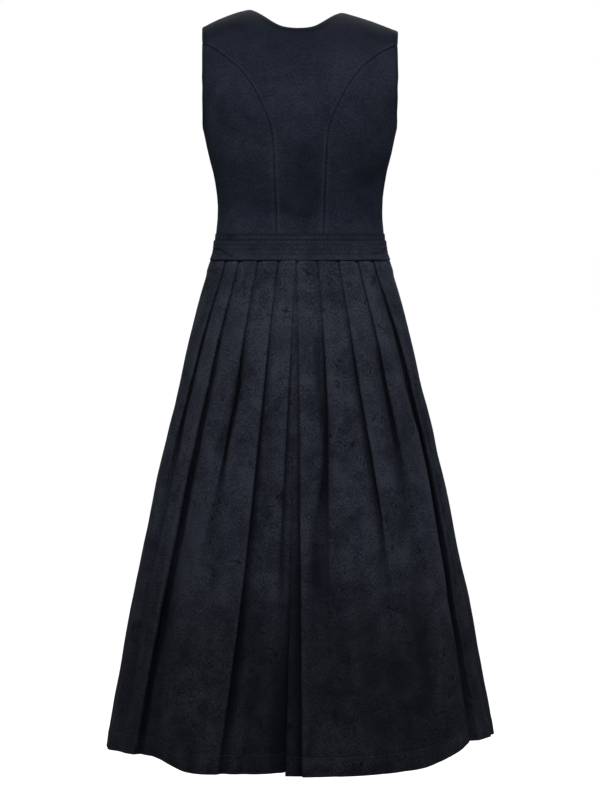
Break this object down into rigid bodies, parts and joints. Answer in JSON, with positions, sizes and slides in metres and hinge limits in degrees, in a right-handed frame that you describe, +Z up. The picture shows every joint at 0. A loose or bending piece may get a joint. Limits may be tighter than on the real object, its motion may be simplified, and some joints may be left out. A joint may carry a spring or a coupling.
{
  "type": "dirndl",
  "caption": "Sleeveless midi dirndl with a princess-seamed bodice, a two-layer waistband and a pleated A-line skirt, in the hollow form it has when worn",
  "frame": {"origin": "level with the top of the shoulders, on the garment's centre line, where the wearer's shoulders carry it", "axes": "+Z up, the front faces -Y, the wearer's left is +X"},
  "size_m": [0.632, 0.503, 1.1905],
  "materials": {
    "bodice_cloth": "midnight blue fine cotton twill with a soft brushed nap",
    "band_cloth": "midnight blue soft cotton, self-coloured, lightly creased",
    "skirt_cloth": "midnight blue cotton with a faint tone-on-tone mottled weave",
    "button": "dark horn-like plastic, satin"
  },
  "bodies": {
    "root": {"bodice_back_centre": "bodice_cloth", "bodice_side_back_left": "bodice_cloth", "bodice_side_back_right": "bodice_cloth", "bodice_side_front_left": "bodice_cloth", "bodice_side_front_right": "bodice_cloth", "bodice_front_left": "bodice_cloth", "bodice_front_right": "bodice_cloth", "front_placket": "bodice_cloth", "waistband_under": "band_cloth", "waistband_over": "band_cloth", "skirt_back_left": "skirt_cloth", "skirt_back_right": "skirt_cloth", "skirt_front_left": "skirt_cloth", "skirt_front_right": "skirt_cloth", "button_1": "button", "button_2": "button", "button_3": "button", "button_4": "button", "button_5": "button", "button_6": "button", "button_7": "button"}
  },
  "joints": []
}
